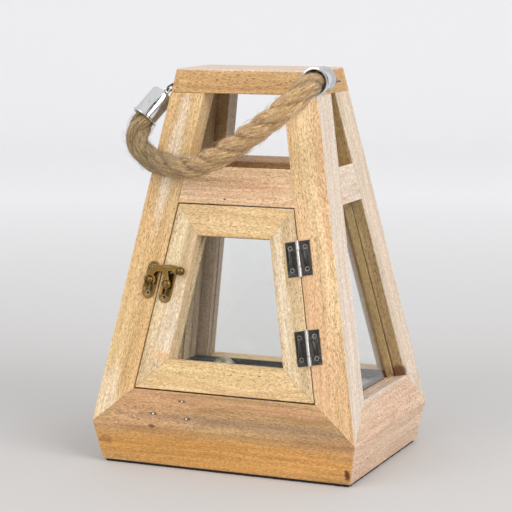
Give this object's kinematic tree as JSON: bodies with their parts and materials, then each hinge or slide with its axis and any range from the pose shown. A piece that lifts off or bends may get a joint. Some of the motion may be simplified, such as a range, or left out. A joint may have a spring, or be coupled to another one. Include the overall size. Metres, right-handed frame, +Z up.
{
  "type": "candle lantern",
  "caption": "Tapered rectangular wooden candle lantern with glazed sides, a hinged and latched glazed door, an open top tier and a thick rope carrying handle on short chains.",
  "frame": {"origin": "centre of the underside of the lantern's pad, on the surface that it stands on", "axes": "+Z up, +X to the right when the door is faced, -Y towards the viewer: the door opens towards -Y"},
  "size_m": [0.216, 0.1826, 0.3067],
  "materials": {
    "wood": "light brown hardwood under a thin clear lacquer",
    "glass": "clear window glass",
    "black_steel": "blackened steel butt hinges and screws, worn bright at the edges",
    "antique_brass": "dark antique brass, rubbed bright on its high points",
    "chrome": "polished chrome plate",
    "jute_rope": "three-strand jute rope with loose fibres",
    "dark_plate": "dark glossy metal plate",
    "grey_metal": "dull grey metal",
    "base_pad": "dark thin pad"
  },
  "bodies": {
    "lantern": {"back_base_rail": "wood", "back_glass": "glass", "back_left_stile": "wood", "back_mid_rail": "wood", "back_right_stile": "wood", "base_pad": "base_pad", "floor_board": "wood", "floor_buttons": "grey_metal", "floor_plate": "dark_plate", "front_base_rail": "wood", "front_left_stile": "wood", "front_mid_rail": "wood", "front_right_stile": "wood", "hinge_frame_screws": "black_steel", "latch_frame_plate": "antique_brass", "latch_frame_screws": "antique_brass", "latch_post": "antique_brass", "left_back_stile": "wood", "left_base_rail": "wood", "left_front_stile": "wood", "left_glass": "glass", "left_mid_rail": "wood", "lower_hinge_frame_leaf": "black_steel", "lower_hinge_pin": "black_steel", "right_back_stile": "wood", "right_base_rail": "wood", "right_front_stile": "wood", "right_glass": "glass", "right_mid_rail": "wood", "top_board": "wood", "upper_hinge_frame_leaf": "black_steel", "upper_hinge_pin": "black_steel"},
    "door": {"door_left_stile": "wood", "door_right_stile": "wood", "door_top_rail": "wood", "door_bottom_rail": "wood", "door_glass": "glass", "upper_hinge_door_leaf": "black_steel", "lower_hinge_door_leaf": "black_steel", "hinge_door_screws": "black_steel", "latch_door_plate": "antique_brass", "latch_door_screws": "antique_brass", "latch_pivot": "antique_brass"},
    "latch": {"latch_arm": "antique_brass"},
    "carrying_handle": {"rope": "jute_rope", "left_cap": "chrome", "right_cap": "chrome", "left_chain": "chrome", "right_chain": "chrome", "left_eye": "chrome", "right_eye": "chrome"}
  },
  "joints": [
    {"name": "door_swing", "type": "hinge", "parent": "lantern", "child": "door", "pos_m": [0.06663, -0.06831, 0.10074], "axis": [-0.1842, 0.1842, 0.9655], "range_deg": [0, 110]},
    {"name": "latch_arm_turn", "type": "hinge", "parent": "door", "child": "latch", "pos_m": [-0.05153, -0.05956, 0.13964], "axis": [0, 0.9823, -0.1874], "range_deg": [0, 75]},
    {"name": "handle_swing", "type": "hinge", "parent": "lantern", "child": "carrying_handle", "pos_m": [0, 0, 0.292], "axis": [-1, 0, 0], "range_deg": [0, 205]}
  ]
}
